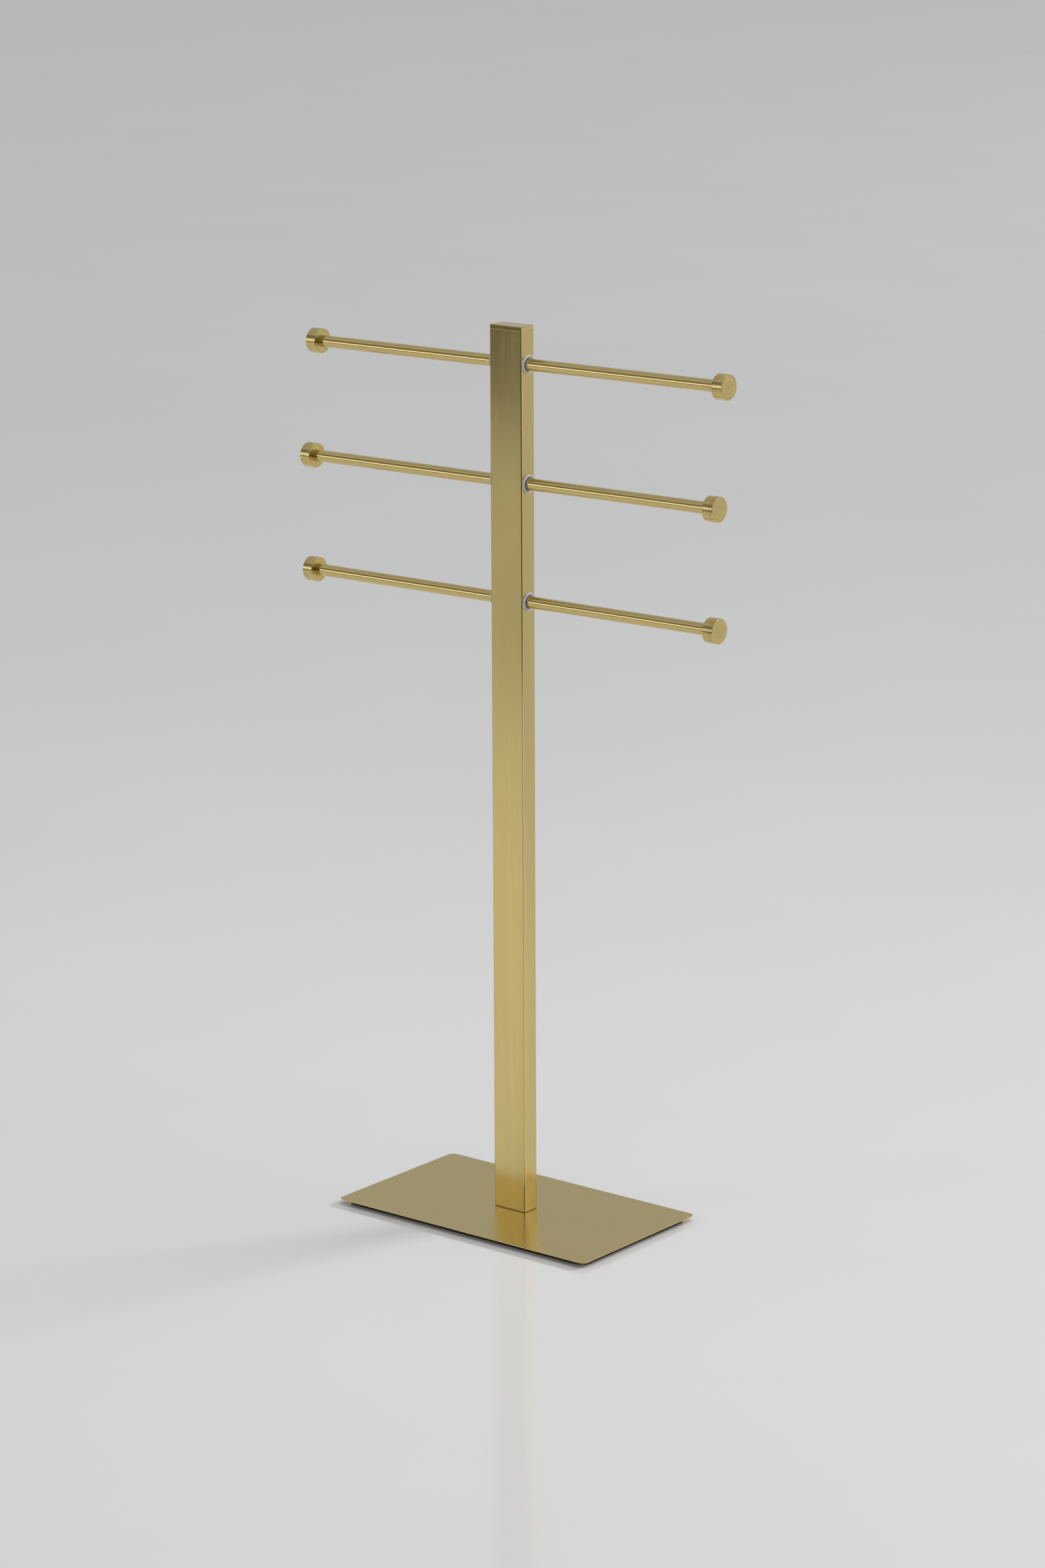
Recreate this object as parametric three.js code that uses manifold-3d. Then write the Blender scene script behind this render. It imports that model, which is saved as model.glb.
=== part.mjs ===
// Free-standing towel rack: a flat weighted base, one rectangular post, and three straight
// rods that run right through the post and slide sideways in plastic bushings.
// Millimetres. X runs along the rods, Y from front to back, +Z up. The origin is on the
// floor, in the middle of the base's underside, straight below the post.
import * as THREE from 'three';
import { mergeVertices } from 'three/addons/utils/BufferGeometryUtils.js';
import Module from 'manifold-3d';

const wasm = await Module();
wasm.setup();

// ---------------------------------------------------------------- driving sizes

// Base: a sheet on top, a steel slab under it for weight, and a non-slip pad on the floor.
const baseLength = 320;
const baseDepth = 185;
const sheetThickness = 0.8;
const sheetCornerRadius = 7;
const slabThickness = 3.7;
const slabInset = 4.5;
const slabCornerRadius = 16;
const padThickness = 1.5;
const padInset = 7;
const padCornerRadius = 20;

// Post: rectangular tube, standing on a thin gasket. Its depth follows the bushings.
const postWidth = 40;
const postSideMargin = 0.5;
const postWall = 1.2;
const postCornerRadius = 1.6;
const postTubeLength = 902;
const gasketThickness = 0.8;
const gasketInset = 0.4;

// Top cap: a plate flush with the post, on a hollow spigot that plugs into it.
const topCapHeight = 4.5;
const topCapEdge = 0.6;
const spigotLength = 18;
const spigotWall = 2;

// Foot block, welded inside the post's foot, and the two screws that pull it down.
const footBlockHeight = 20;
const screwSpacing = 24;
const screwDiameter = 5;
const screwLength = 20;
const screwHeadDiameter = 9.6;
const screwHeadHeight = 2.3;
const screwSocketAcrossFlats = 3;
const screwSocketDepth = 1.7;
const padAccessDiameter = 13;

// Rods: one tube each, level through the middle of the post.
const rodDiameter = 12;
const rodWall = 1;
const rodAssemblyLength = 519;
const topRodDrop = 33.3;
const rodSpacing = 118;
const rodLevels = [
  { name: 'top', offset: 2.6 },
  { name: 'middle', offset: -7.4 },
  { name: 'bottom', offset: -6.4 },
];

// Rod ends: a solid round cap, held by a stud to a threaded plug pressed in the tube.
const capDiameter = 25;
const capLength = 12;
const capCounterbore = 4;
const capTapDepth = 5.5;
const capInnerEdge = 0.3;
const capOuterEdge = 0.5;
const plugLength = 14;
const studDiameter = 6;
const studCapEngagement = 5;
const studPlugEngagement = 11;
const studChamfer = 0.6;

// Bushings: a flanged sleeve that snaps into the post's side wall, with a funnel mouth.
// The flange fills the post's narrow side, all but a small margin.
const bushingSleeveWall = 1.1;
const bushingSleeveLength = 9;
const bushingFlangeOverhang = 2.3;
const bushingFlangeThickness = 1.6;
const bushingRimWidth = 1.4;
const bushingFunnelDepth = 1.2;
const bushingFunnelSlope = 0.9;
const bushingBarbHeight = 0.35;
const bushingBarbLength = 1.4;

// Clearances.
const rodRunningClearance = 0.1;
const bushingHoleClearance = 0.12;
const spigotClearance = 0.15;
const footBlockClearance = 0.1;
const plugClearance = 0.1;
const threadClearance = 0.1;
const screwHoleClearance = 0.3;
const capBoreClearance = 0.1;

// Facets round a circle: fine where it shows, coarse inside.
const fineFacets = 24;
const coarseFacets = 16;
const cornerFacets = 5;

// ---------------------------------------------------------------- levels and places

const slabBottom = padThickness;
const sheetBottom = slabBottom + slabThickness;
const baseTop = sheetBottom + sheetThickness;
const postBottom = baseTop + gasketThickness;
const postTop = postBottom + postTubeLength;
const bushingSleeveDiameter = rodDiameter + 2 * (rodRunningClearance + bushingSleeveWall);
const bushingFlangeDiameter = bushingSleeveDiameter + 2 * bushingFlangeOverhang;
const postDepth = bushingFlangeDiameter + 2 * postSideMargin;
const postInnerWidth = postWidth - 2 * postWall;
const postInnerDepth = postDepth - 2 * postWall;
const postInnerRadius = Math.max(postCornerRadius - postWall, 0.3);
const rodHeight = (level) => postTop - topRodDrop - level * rodSpacing;
const rodTubeLength = rodAssemblyLength - 2 * (capLength - capCounterbore);
const rodInnerRadius = rodDiameter / 2 - rodWall;

// ---------------------------------------------------------------- finishes

const finish = (color, roughness, metalness) =>
  new THREE.MeshStandardMaterial({ color, roughness, metalness });
const brushedGold = finish(0xb09a5a, 0.34, 1);
const polishedGold = finish(0xb89646, 0.22, 1);
const blackSteel = finish(0x141414, 0.6, 0.4);
const blackRubber = finish(0x0e0e0e, 0.95, 0);
const whiteNylon = finish(0xd9d9d4, 0.4, 0);
const zincScrew = finish(0x8c8f92, 0.35, 1);
const plainSteel = finish(0x83868a, 0.5, 1);

// ---------------------------------------------------------------- solids

function toSolid(geometry) {
  const bare = geometry.clone();
  bare.deleteAttribute('normal');
  bare.deleteAttribute('uv');
  const merged = mergeVertices(bare, 1e-4);
  return new wasm.Manifold(new wasm.Mesh({
    numProp: 3,
    vertProperties: new Float32Array(merged.attributes.position.array),
    triVerts: new Uint32Array(merged.index.array),
  }));
}

function toGeometry(solid) {
  const mesh = solid.getMesh();
  const geometry = new THREE.BufferGeometry();
  geometry.setAttribute('position', new THREE.BufferAttribute(mesh.vertProperties, 3));
  geometry.setIndex(new THREE.BufferAttribute(mesh.triVerts, 1));
  geometry.computeVertexNormals();
  return geometry;
}

// A rectangle with round corners, drawn anticlockwise about the origin.
function roundedRectangle(width, depth, radius) {
  const outline = new THREE.Shape();
  const x = width / 2 - radius;
  const y = depth / 2 - radius;
  outline.absarc(x, y, radius, 0, Math.PI / 2);
  outline.absarc(-x, y, radius, Math.PI / 2, Math.PI);
  outline.absarc(-x, -y, radius, Math.PI, Math.PI * 1.5);
  outline.absarc(x, -y, radius, Math.PI * 1.5, Math.PI * 2);
  outline.closePath();
  return outline;
}

// An upright plate with that outline, from one height to another.
function plate(width, depth, radius, bottom, top) {
  const settings = { depth: top - bottom, bevelEnabled: false, curveSegments: cornerFacets };
  const outline = roundedRectangle(width, depth, radius);
  return toSolid(new THREE.ExtrudeGeometry(outline, settings).translate(0, 0, bottom));
}

// A turned solid. Its outline is [radius, distance along the axis] pairs, anticlockwise.
function turned(outline, facets) {
  const points = outline.map(([radius, along]) => new THREE.Vector2(radius, along));
  return new THREE.LatheGeometry(points, facets);
}

// The lathe's axis is Y. Swapping the coordinates round lays it along Z or X exactly.
function reorder(geometry, pick) {
  const place = geometry.attributes.position;
  for (let i = 0; i < place.count; i += 1) {
    const [x, y, z] = pick(place.getX(i), place.getY(i), place.getZ(i));
    place.setXYZ(i, x, y, z);
  }
  return geometry;
}

const turnedUpright = (outline, facets) =>
  toSolid(reorder(turned(outline, facets), (x, y, z) => [z, x, y]));
const turnedLevel = (outline, facets) =>
  toSolid(reorder(turned(outline, facets), (x, y, z) => [y, z, x]));

// A plain round bar between two distances along its axis.
const barOutline = (radius, from, to) => [[0, from], [radius, from], [radius, to], [0, to]];

// ---------------------------------------------------------------- the rack

const rack = new THREE.Group();

function place(name, solid, material, position = [0, 0, 0], halfTurn = false) {
  const mesh = new THREE.Mesh(toGeometry(solid), material);
  mesh.name = name;
  mesh.position.set(...position);
  if (halfTurn) mesh.rotation.z = Math.PI;
  rack.add(mesh);
}

// ---------------------------------------------------------------- base

const screwPlaces = [
  { side: 'left', x: -screwSpacing / 2 },
  { side: 'right', x: screwSpacing / 2 },
];

function cutAtScrews(solid, outline) {
  const cutter = turnedUpright(outline, coarseFacets);
  return screwPlaces.reduce((part, { x }) => part.subtract(cutter.translate(x, 0, 0)), solid);
}

function basePad() {
  const length = baseLength - 2 * padInset;
  const depth = baseDepth - 2 * padInset;
  const pad = plate(length, depth, padCornerRadius, 0, slabBottom);
  return cutAtScrews(pad, barOutline(padAccessDiameter / 2, -1, slabBottom + 1));
}

// The screw heads sink flush into countersinks in the slab's underside.
function baseSlab() {
  const length = baseLength - 2 * slabInset;
  const depth = baseDepth - 2 * slabInset;
  const slab = plate(length, depth, slabCornerRadius, slabBottom, sheetBottom);
  const head = screwHeadDiameter / 2 + screwHoleClearance;
  const shank = screwDiameter / 2 + screwHoleClearance;
  const neck = slabBottom + screwHeadHeight;
  return cutAtScrews(slab, [
    [0, slabBottom - 1], [head, slabBottom - 1], [head, slabBottom],
    [shank, neck], [shank, sheetBottom + 1], [0, sheetBottom + 1],
  ]);
}

function baseSheet() {
  const sheet = plate(baseLength, baseDepth, sheetCornerRadius, sheetBottom, baseTop);
  const hole = screwDiameter / 2 + screwHoleClearance;
  return cutAtScrews(sheet, barOutline(hole, sheetBottom - 1, baseTop + 1));
}

function baseScrew() {
  const shank = screwDiameter / 2;
  const bottom = slabBottom;
  const tip = bottom + screwLength;
  const body = turnedUpright([
    [0, bottom], [screwHeadDiameter / 2, bottom], [shank, bottom + screwHeadHeight],
    [shank, tip - 1], [shank - 0.8, tip], [0, tip],
  ], coarseFacets);
  const socketRadius = screwSocketAcrossFlats / Math.sqrt(3);
  const socketTop = bottom + screwSocketDepth;
  const socket = turnedUpright(barOutline(socketRadius, bottom - 1, socketTop), 6);
  return body.subtract(socket);
}

place('base_non_slip_pad', basePad(), blackRubber);
place('base_weight_slab', baseSlab(), blackSteel);
place('base_cover_sheet', baseSheet(), brushedGold);
for (const { side, x } of screwPlaces) {
  place(`base_screw_${side}`, baseScrew(), zincScrew, [x, 0, 0]);
}

// ---------------------------------------------------------------- post

function footGasket() {
  const width = postWidth - 2 * gasketInset;
  const depth = postDepth - 2 * gasketInset;
  const gasket = plate(width, depth, postCornerRadius - gasketInset, baseTop, postBottom);
  const hole = screwDiameter / 2 + screwHoleClearance;
  return cutAtScrews(gasket, barOutline(hole, baseTop - 1, postBottom + 1));
}

function footBlock() {
  const width = postInnerWidth - 2 * footBlockClearance;
  const depth = postInnerDepth - 2 * footBlockClearance;
  const top = postBottom + footBlockHeight;
  const block = plate(width, depth, postInnerRadius, postBottom, top);
  const thread = screwDiameter / 2 + threadClearance;
  return cutAtScrews(block, barOutline(thread, postBottom - 1, top + 1));
}

// The tube has one round hole through both narrow sides for each rod's pair of bushings.
function postTube() {
  const outside = plate(postWidth, postDepth, postCornerRadius, postBottom, postTop);
  const inside = plate(postInnerWidth, postInnerDepth, postInnerRadius, postBottom - 1, postTop + 1);
  const holeRadius = bushingSleeveDiameter / 2 + bushingHoleClearance;
  const drill = turnedLevel(barOutline(holeRadius, -postWidth, postWidth), fineFacets);
  return rodLevels.reduce(
    (tube, _, level) => tube.subtract(drill.translate(0, 0, rodHeight(level))),
    outside.subtract(inside),
  );
}

function topCap() {
  const shoulder = postTop + topCapHeight - topCapEdge;
  const lid = plate(postWidth, postDepth, postCornerRadius, postTop, shoulder);
  const topWidth = postWidth - 2 * topCapEdge;
  const topDepth = postDepth - 2 * topCapEdge;
  const topOutline = roundedRectangle(topWidth, topDepth, postCornerRadius - topCapEdge);
  const bevelled = new THREE.ExtrudeGeometry(topOutline, {
    depth: topCapEdge,
    bevelThickness: topCapEdge,
    bevelSize: topCapEdge,
    bevelSegments: 1,
    curveSegments: cornerFacets,
  });
  const edge = toSolid(bevelled.translate(0, 0, shoulder - topCapEdge));
  const width = postInnerWidth - 2 * spigotClearance;
  const depth = postInnerDepth - 2 * spigotClearance;
  const end = postTop - spigotLength;
  const spigot = plate(width, depth, postInnerRadius, end, postTop + 1);
  const hollow = plate(width - 2 * spigotWall, depth - 2 * spigotWall, postInnerRadius,
    end - 1, postTop);
  return lid.add(edge).add(spigot.subtract(hollow));
}

place('post_foot_gasket', footGasket(), blackRubber);
place('post_foot_block', footBlock(), plainSteel);
place('post_tube', postTube(), brushedGold);
place('post_top_cap', topCap(), polishedGold);

// ---------------------------------------------------------------- bushings

// Drawn for the right-hand side of the post: the flange lies on the wall, the sleeve
// points inwards, and a small barb behind the wall keeps it from pulling out.
function bushing() {
  const bore = rodDiameter / 2 + rodRunningClearance;
  const sleeve = bushingSleeveDiameter / 2;
  const flange = bushingFlangeDiameter / 2;
  const wallOutside = postWidth / 2;
  const barbFrom = wallOutside - postWall - 0.2;
  const barbTo = barbFrom - bushingBarbLength;
  const face = wallOutside + bushingFlangeThickness;
  const inner = wallOutside - bushingSleeveLength;
  const rimInner = flange - bushingRimWidth;
  const funnel = face - bushingFunnelDepth;
  return turnedLevel([
    [bore, inner], [sleeve - bushingBarbHeight, inner], [sleeve, barbTo],
    [sleeve + bushingBarbHeight, barbFrom], [sleeve, barbFrom], [sleeve, wallOutside],
    [flange, wallOutside], [flange, face - 0.5], [flange - 0.4, face], [rimInner, face],
    [rimInner - bushingFunnelSlope, funnel], [bore, funnel - 0.3], [bore, inner],
  ], fineFacets);
}

rodLevels.forEach(({ name }, level) => {
  for (const side of ['left', 'right']) {
    const position = [0, 0, rodHeight(level)];
    place(`rod_bushing_${name}_${side}`, bushing(), whiteNylon, position, side === 'left');
  }
});

// ---------------------------------------------------------------- rods

function rodTube() {
  const end = rodTubeLength / 2;
  const outer = rodDiameter / 2;
  return turnedLevel([
    [rodInnerRadius, -end], [outer, -end], [outer, end], [rodInnerRadius, end],
    [rodInnerRadius, -end],
  ], fineFacets);
}

// The end pieces are drawn for the right-hand end, at their distance from the middle.
const capFace = rodAssemblyLength / 2;
const rodEnd = rodTubeLength / 2;

function endCap() {
  const outer = capDiameter / 2;
  const inside = capFace - capLength;
  const counterbore = rodDiameter / 2 + capBoreClearance;
  const tap = studDiameter / 2 + threadClearance;
  return turnedLevel([
    [0, rodEnd + capTapDepth], [tap, rodEnd + capTapDepth], [tap, rodEnd], [counterbore, rodEnd],
    [counterbore, inside], [outer - capInnerEdge, inside], [outer, inside + capInnerEdge],
    [outer, capFace - capOuterEdge], [outer - capOuterEdge, capFace], [0, capFace],
  ], fineFacets);
}

function rodPlug() {
  const outer = rodInnerRadius - plugClearance;
  const thread = studDiameter / 2 + threadClearance;
  const inner = rodEnd - plugLength;
  return turnedLevel([
    [thread, inner], [outer, inner], [outer, rodEnd], [thread, rodEnd], [thread, inner],
  ], coarseFacets);
}

function capStud() {
  const outer = studDiameter / 2;
  const from = rodEnd - studPlugEngagement;
  const to = rodEnd + studCapEngagement;
  return turnedLevel([
    [0, from], [outer - studChamfer, from], [outer, from + studChamfer],
    [outer, to - studChamfer], [outer - studChamfer, to], [0, to],
  ], coarseFacets);
}

rodLevels.forEach(({ name, offset }, level) => {
  const position = [offset, 0, rodHeight(level)];
  place(`rod_tube_${name}`, rodTube(), brushedGold, position);
  for (const side of ['left', 'right']) {
    const turnRound = side === 'left';
    place(`end_cap_${name}_${side}`, endCap(), brushedGold, position, turnRound);
    place(`rod_plug_${name}_${side}`, rodPlug(), plainSteel, position, turnRound);
    place(`cap_stud_${name}_${side}`, capStud(), zincScrew, position, turnRound);
  }
});

export default rack;
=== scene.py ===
# Free-standing towel rack, brushed gold: a weighted base plate, one rectangular post, and
# three straight rods that slide sideways through plastic bushings in the post.
# Metres. X runs along the rods, Y from front to back, Z up from the floor.
import math

import bmesh
import bpy
from mathutils import Matrix, Vector


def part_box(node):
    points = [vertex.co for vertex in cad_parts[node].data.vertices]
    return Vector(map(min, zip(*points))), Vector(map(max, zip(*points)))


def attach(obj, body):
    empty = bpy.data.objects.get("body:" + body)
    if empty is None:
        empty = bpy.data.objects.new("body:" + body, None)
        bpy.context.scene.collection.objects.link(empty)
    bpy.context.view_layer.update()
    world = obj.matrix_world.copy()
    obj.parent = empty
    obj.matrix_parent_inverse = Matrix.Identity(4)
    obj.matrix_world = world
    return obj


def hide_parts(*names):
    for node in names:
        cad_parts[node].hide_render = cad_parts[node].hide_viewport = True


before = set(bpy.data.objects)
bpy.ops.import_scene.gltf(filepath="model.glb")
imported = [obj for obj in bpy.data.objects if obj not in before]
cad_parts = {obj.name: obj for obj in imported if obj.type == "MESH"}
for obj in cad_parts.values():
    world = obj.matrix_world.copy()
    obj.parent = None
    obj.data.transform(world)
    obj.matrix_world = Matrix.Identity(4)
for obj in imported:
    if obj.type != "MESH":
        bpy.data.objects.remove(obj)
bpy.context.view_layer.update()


# ------------------------------------------------------------------ non-slip pad
# A sheet of black rubber glued under the slab, cut back from its edge so that it doesn't
# show from above. Two round openings let a key reach the screws.

MM = 0.001
CORNER_STEPS = 10
EDGE_STEPS = 4
HOLE_STEPS = 40
CRISP_ANGLE = math.radians(30)


def outline(box, corner, height, inset=0.0):
    """Points round a rectangle with round corners, anticlockwise seen from above."""
    (x0, y0, _), (x1, y1, _) = box
    radius = max(corner - inset, 0.05 * MM)
    reach = inset + radius
    centres = ((x1 - reach, y1 - reach), (x0 + reach, y1 - reach),
               (x0 + reach, y0 + reach), (x1 - reach, y0 + reach))
    points = []
    for quarter, (x, y) in enumerate(centres):
        for step in range(CORNER_STEPS + 1):
            turn = (quarter + step / CORNER_STEPS) * math.pi / 2
            points.append(Vector((x + radius * math.cos(turn),
                                  y + radius * math.sin(turn), height)))
    return points


def round_hole(x, y, *levels):
    """The wall of a hole that goes straight up: one ring of points for each (radius, height)."""
    turns = [math.tau * step / HOLE_STEPS for step in range(HOLE_STEPS)]
    return [[Vector((x + radius * math.cos(turn), y + radius * math.sin(turn), height))
             for turn in turns] for radius, height in levels]


def softened(box, corner, low_edge, high_edge):
    """Outlines from the bottom of a plate to its top, with both edges rounded over."""
    bottom, top = box[0][2], box[1][2]
    rings = []
    for edge, height, up in ((low_edge, bottom, 1), (high_edge, top, -1)):
        turns = [math.pi / 2 / EDGE_STEPS * step for step in range(EDGE_STEPS + 1)]
        rounded = [outline(box, corner, height + up * edge * (1 - math.sin(turn)),
                           edge * (1 - math.cos(turn))) for turn in turns]
        rings += rounded[::-1] if up > 0 else rounded
    return rings


def skin(bm, rings):
    """Joins each ring of points to the next one; returns the rings' vertices."""
    loops = [[bm.verts.new(point) for point in ring] for ring in rings]
    for lower, upper in zip(loops, loops[1:]):
        for i, here in enumerate(lower):
            j = (i + 1) % len(lower)
            bm.faces.new((here, lower[j], upper[j], upper[i]))
    return loops


def close(bm, loops):
    """Fills the flat area inside the first loop and outside the others."""
    edges = [bm.edges.get((loop[i - 1], loop[i])) for loop in loops for i in range(len(loop))]
    bmesh.ops.triangle_fill(bm, use_beauty=True, edges=edges)


def plate(rings, holes=()):
    """A solid with that outer wall, and holes right through it."""
    bm = bmesh.new()
    walls = [skin(bm, wall) for wall in (rings, *holes)]
    close(bm, [wall[0] for wall in walls])
    close(bm, [wall[-1] for wall in walls])
    return bm


def finished(name, bm, material):
    """Makes the mesh an object: faces outwards, curves smooth, corners crisp."""
    bmesh.ops.remove_doubles(bm, verts=bm.verts, dist=1e-7)
    bmesh.ops.recalc_face_normals(bm, faces=bm.faces)
    for face in bm.faces:
        face.smooth = True
    for edge in bm.edges:
        edge.smooth = edge.calc_face_angle(0.0) < CRISP_ANGLE
    mesh = bpy.data.meshes.new(name)
    bm.to_mesh(mesh)
    bm.free()
    mesh.materials.clear()
    mesh.materials.append(material)
    piece = bpy.data.objects.new(name, mesh)
    bpy.context.scene.collection.objects.link(piece)
    even = piece.modifiers.new("flat faces shade flat", "WEIGHTED_NORMAL")
    even.keep_sharp = True
    return piece


def add(tree, kind, inputs=None, **settings):
    """Adds a node. An input is given a value, or another node's output to join it to."""
    node = tree.nodes.new(kind)
    for name, value in settings.items():
        setattr(node, name, value)
    for name, value in (inputs or {}).items():
        if isinstance(value, bpy.types.NodeSocket):
            tree.links.new(value, node.inputs[name])
        else:
            node.inputs[name].default_value = value
    return node


def new_finish(name, **constants):
    """A material with its constant values set on the shader's own sockets."""
    material = bpy.data.materials.new(name)
    material.use_nodes = True
    surface = material.node_tree.nodes["Principled BSDF"]
    for socket, value in constants.items():
        surface.inputs[socket.replace("_", " ")].default_value = value
    return material, material.node_tree, surface


def noise(tree, scale, detail=2.0, rough=0.5, centre=(0, 0, 0)):
    """Noise on the piece's own coordinates; scale is in cells per metre, one for each axis."""
    here = add(tree, "ShaderNodeTexCoord").outputs["Object"]
    spread = add(tree, "ShaderNodeMapping",
                 {"Vector": here, "Location": [-s * c for s, c in zip(scale, centre)],
                  "Scale": scale})
    return add(tree, "ShaderNodeTexNoise",
               {"Vector": spread.outputs[0], "Scale": 1.0, "Detail": detail,
                "Roughness": rough}).outputs[0]


def ranged(tree, value, low, high, start=0.3, stop=0.7):
    """Takes the noise's middle range to a range of its own."""
    return add(tree, "ShaderNodeMapRange",
               {"Value": value, "From Min": start, "From Max": stop,
                "To Min": low, "To Max": high}).outputs[0]


def blend_colour(tree, factor, first, second):
    mix = add(tree, "ShaderNodeMix", {0: factor, 6: first, 7: second}, data_type="RGBA")
    return mix.outputs[2]


def black_rubber():
    # Moulded rubber: a fine pebbled skin, a little dust, no shine.
    material, tree, surface = new_finish("black rubber", Specular_IOR_Level=0.3)
    pebble = noise(tree, (1400, 1400, 1400), 2.0)
    dust = noise(tree, (45, 45, 45), 4.0, 0.65)
    tone = blend_colour(tree, ranged(tree, dust, 0, 1, 0.45, 0.8),
                        (0.010, 0.010, 0.010, 1), (0.026, 0.025, 0.023, 1))
    bump = add(tree, "ShaderNodeBump",
               {"Height": pebble, "Strength": 0.5, "Distance": 0.06 * MM})
    tree.links.new(tone, surface.inputs["Base Color"])
    tree.links.new(ranged(tree, dust, 0.7, 0.9), surface.inputs["Roughness"])
    tree.links.new(bump.outputs[0], surface.inputs["Normal"])
    return material


screw_places = [sum(corner[0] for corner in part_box(f"base_screw_{side}")) / 2
                for side in ("left", "right")]
pad_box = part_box("base_non_slip_pad")
pad_access = 6.5 * MM
pad = finished(
    "base_non_slip_pad_rubber",
    plate(softened(pad_box, 20 * MM, 0.3 * MM, 0.1 * MM),
          [round_hole(x, 0, (pad_access, pad_box[0][2]), (pad_access, pad_box[1][2]))
           for x in screw_places]),
    black_rubber())
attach(pad, "stand")
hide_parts("base_non_slip_pad")


# ------------------------------------------------------------------ weight slab
# A black powder-coated steel plate that gives the base its weight. It sits a few
# millimetres in from the cover sheet's edge, and its underside is countersunk for the screws.


def powder_coat():
    # Powder coat on steel: a low orange peel with fine, slightly glossy grains.
    material, tree, surface = new_finish("black powder coat", Specular_IOR_Level=0.4)
    peel = noise(tree, (650, 650, 650), 1.5)
    grain = noise(tree, (3800, 3800, 3800), 1.0)
    height = add(tree, "ShaderNodeMath", {0: peel, 1: ranged(tree, grain, 0, 0.35)},
                 operation="ADD")
    bump = add(tree, "ShaderNodeBump",
               {"Height": height.outputs[0], "Strength": 0.45, "Distance": 0.05 * MM})
    tone = blend_colour(tree, ranged(tree, peel, 0, 1),
                        (0.006, 0.006, 0.006, 1), (0.013, 0.013, 0.013, 1))
    tree.links.new(tone, surface.inputs["Base Color"])
    tree.links.new(ranged(tree, grain, 0.48, 0.66), surface.inputs["Roughness"])
    tree.links.new(bump.outputs[0], surface.inputs["Normal"])
    return material


slab_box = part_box("base_weight_slab")
head_room, shank_room = 5.1 * MM, 2.8 * MM
countersink_depth = 2.3 * MM
neck = slab_box[0][2] + countersink_depth
slab = finished(
    "base_weight_slab_coated",
    plate(softened(slab_box, 16 * MM, 0.35 * MM, 0.35 * MM),
          [round_hole(x, 0, (head_room, slab_box[0][2]), (shank_room, neck),
                      (shank_room, slab_box[1][2])) for x in screw_places]),
    powder_coat())
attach(slab, "stand")
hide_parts("base_weight_slab")


# ------------------------------------------------------------------ cover sheet
# A 0.8 mm stainless sheet, brushed along its length and coated satin gold, glued over the
# slab. Its edge is rounded over and catches a thin line of light.

LIGHT_GOLD = (0.700, 0.562, 0.242, 1)


def brushed_gold(name, grain, shine=0.2, anisotropy=0.5, streak=1.0, hair=1.0, centre=(0, 0, 0)):
    """Satin gold on brushed steel. grain is the axis that the brushing follows."""
    material, tree, surface = new_finish(
        name, Metallic=1.0, Anisotropic=anisotropy, Anisotropic_Rotation=0.25)

    def brushed(along, across, detail):
        scale = [along if axis == grain else across for axis in "XYZ"]
        return noise(tree, scale, detail, 0.55, centre)

    hairs = brushed(14, 2600, 2.0)
    streaks = brushed(2.2, 260, 3.0)
    handling = noise(tree, (11, 11, 11), 3.0, 0.6)
    tone = blend_colour(tree, ranged(tree, streaks, 0.5 - 0.5 * streak, 0.5 + 0.5 * streak),
                        (0.635, 0.502, 0.205, 1), LIGHT_GOLD)
    darker = blend_colour(tree, ranged(tree, hairs, 0.16 * hair, 0.0),
                          (1, 1, 1, 1), (0.52, 0.47, 0.38, 1))
    colour = add(tree, "ShaderNodeMix", {0: 1.0, 6: tone, 7: darker},
                 data_type="RGBA", blend_type="MULTIPLY")
    rough = add(tree, "ShaderNodeMath",
                {0: ranged(tree, hairs, shine - 0.03, shine + 0.04),
                 1: ranged(tree, handling, -0.015, 0.025)}, operation="ADD")
    height = add(tree, "ShaderNodeMath",
                 {0: hairs, 1: ranged(tree, streaks, 0, 0.4)}, operation="ADD")
    bump = add(tree, "ShaderNodeBump",
               {"Height": height.outputs[0], "Strength": 0.12 * hair, "Distance": 0.02 * MM})
    # Tipped a little off the axis, so that it is never square to a face.
    along = [1.0 if axis == grain else 0.03 for axis in "XYZ"]
    lay = add(tree, "ShaderNodeCombineXYZ", dict(zip("XYZ", along)))
    tree.links.new(colour.outputs[2], surface.inputs["Base Color"])
    tree.links.new(rough.outputs[0], surface.inputs["Roughness"])
    tree.links.new(bump.outputs[0], surface.inputs["Normal"])
    tree.links.new(lay.outputs[0], surface.inputs["Tangent"])
    return material


sheet_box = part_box("base_cover_sheet")
sheet = finished(
    "base_cover_sheet_brushed",
    plate(softened(sheet_box, 7 * MM, 0.1 * MM, 0.15 * MM),
          [round_hole(x, 0, (shank_room, sheet_box[0][2]), (shank_room, sheet_box[1][2]))
           for x in screw_places]),
    brushed_gold("brushed gold sheet", "X", shine=0.21, anisotropy=0.3, streak=0.25, hair=0.35))
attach(sheet, "stand")
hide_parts("base_cover_sheet")


# ------------------------------------------------------------------ foot gasket
# A thin amber silicone gasket under the post's foot. It shows as a brown line round it.


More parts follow.
